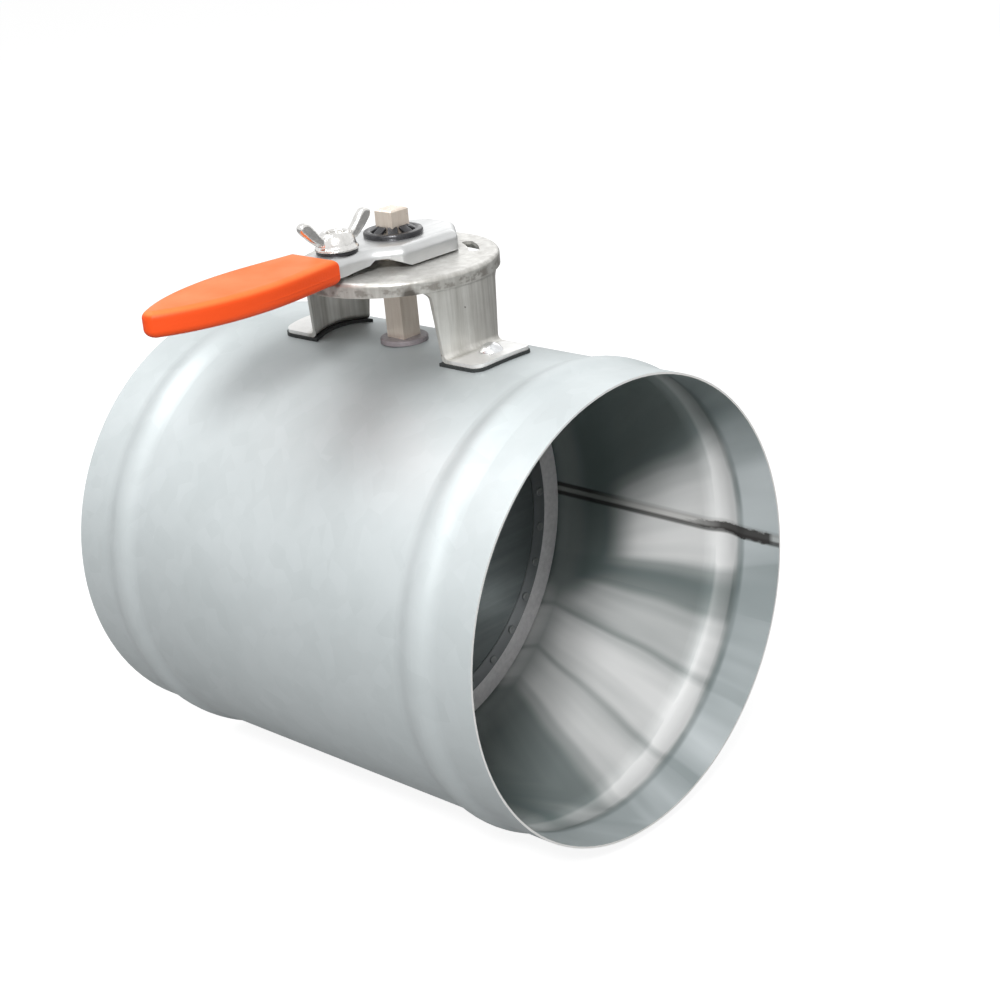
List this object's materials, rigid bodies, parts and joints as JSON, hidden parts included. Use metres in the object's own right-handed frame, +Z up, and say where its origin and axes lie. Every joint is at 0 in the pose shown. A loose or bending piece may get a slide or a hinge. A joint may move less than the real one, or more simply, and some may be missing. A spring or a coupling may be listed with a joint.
{
  "type": "round air damper",
  "caption": "Round duct air damper: a beaded sheet-metal sleeve with a butterfly blade on a square shaft, turned and locked by an orange-gripped lever over a bracket disc.",
  "frame": {"origin": "centre of the inlet spigot's end circle, on the duct's axis", "axes": "+X along the duct from the inlet end to the outlet end, +Z up the shaft towards the lever, -Y the way the closed lever points"},
  "size_m": [0.195, 0.1875, 0.2147],
  "materials": {
    "galvanised_sheet": "satin zinc",
    "bracket_steel": "rolled, slightly streaked",
    "black_rubber": "matt",
    "rivet_aluminium": "bright",
    "plated_shaft": "pale pinkish plating",
    "bush_plastic": "matt mauve grey",
    "black_spring_steel": "blackened",
    "lever_steel": "satin pressed sheet",
    "orange_grip": "semi-gloss dipped plastic",
    "bright_plating": "bright zinc or nickel plate",
    "blade_sheet": "dull zinc",
    "grey_seal": "matt mid grey"
  },
  "bodies": {
    "duct": {"duct_shell": "galvanised_sheet", "regulator_bracket": "bracket_steel", "outlet_foot_gasket": "black_rubber", "inlet_foot_gasket": "black_rubber", "outlet_foot_rivet": "rivet_aluminium", "inlet_foot_rivet": "rivet_aluminium"},
    "blade": {"damper_shaft": "plated_shaft", "upper_bush": "bush_plastic", "lower_bush": "bush_plastic", "upper_push_nut": "black_spring_steel", "lower_push_nut": "black_spring_steel", "lever": "lever_steel", "lever_grip": "orange_grip", "lock_bolt": "bright_plating", "blade_front_disc": "blade_sheet", "blade_back_disc": "blade_sheet", "blade_seal": "grey_seal", "blade_rivets": "rivet_aluminium", "upper_shaft_strap": "blade_sheet", "lower_shaft_strap": "blade_sheet", "strap_bolts": "bright_plating", "strap_nuts": "bright_plating"},
    "washer": {"lock_washer": "black_spring_steel"},
    "nut": {"wing_nut": "bright_plating"}
  },
  "joints": [
    {"name": "damper_turn", "type": "hinge", "parent": "duct", "child": "blade", "pos_m": [0.0975, 0, 0], "axis": [0, 0, -1], "range_deg": [0, 90]},
    {"name": "lock_washer_lift", "type": "slide", "parent": "blade", "child": "washer", "axis": [0, 0, 1], "range_m": [0, 0.002]},
    {"name": "wing_nut_turn", "type": "hinge", "parent": "washer", "child": "nut", "pos_m": [0.0975, -0.026, 0.118], "axis": [0, 0, 1], "range_deg": [0, 720]}
  ],
  "couplings": [
    {"joint": "wing_nut_turn", "follows": "lock_washer_lift", "rad_per_m": 6283}
  ]
}
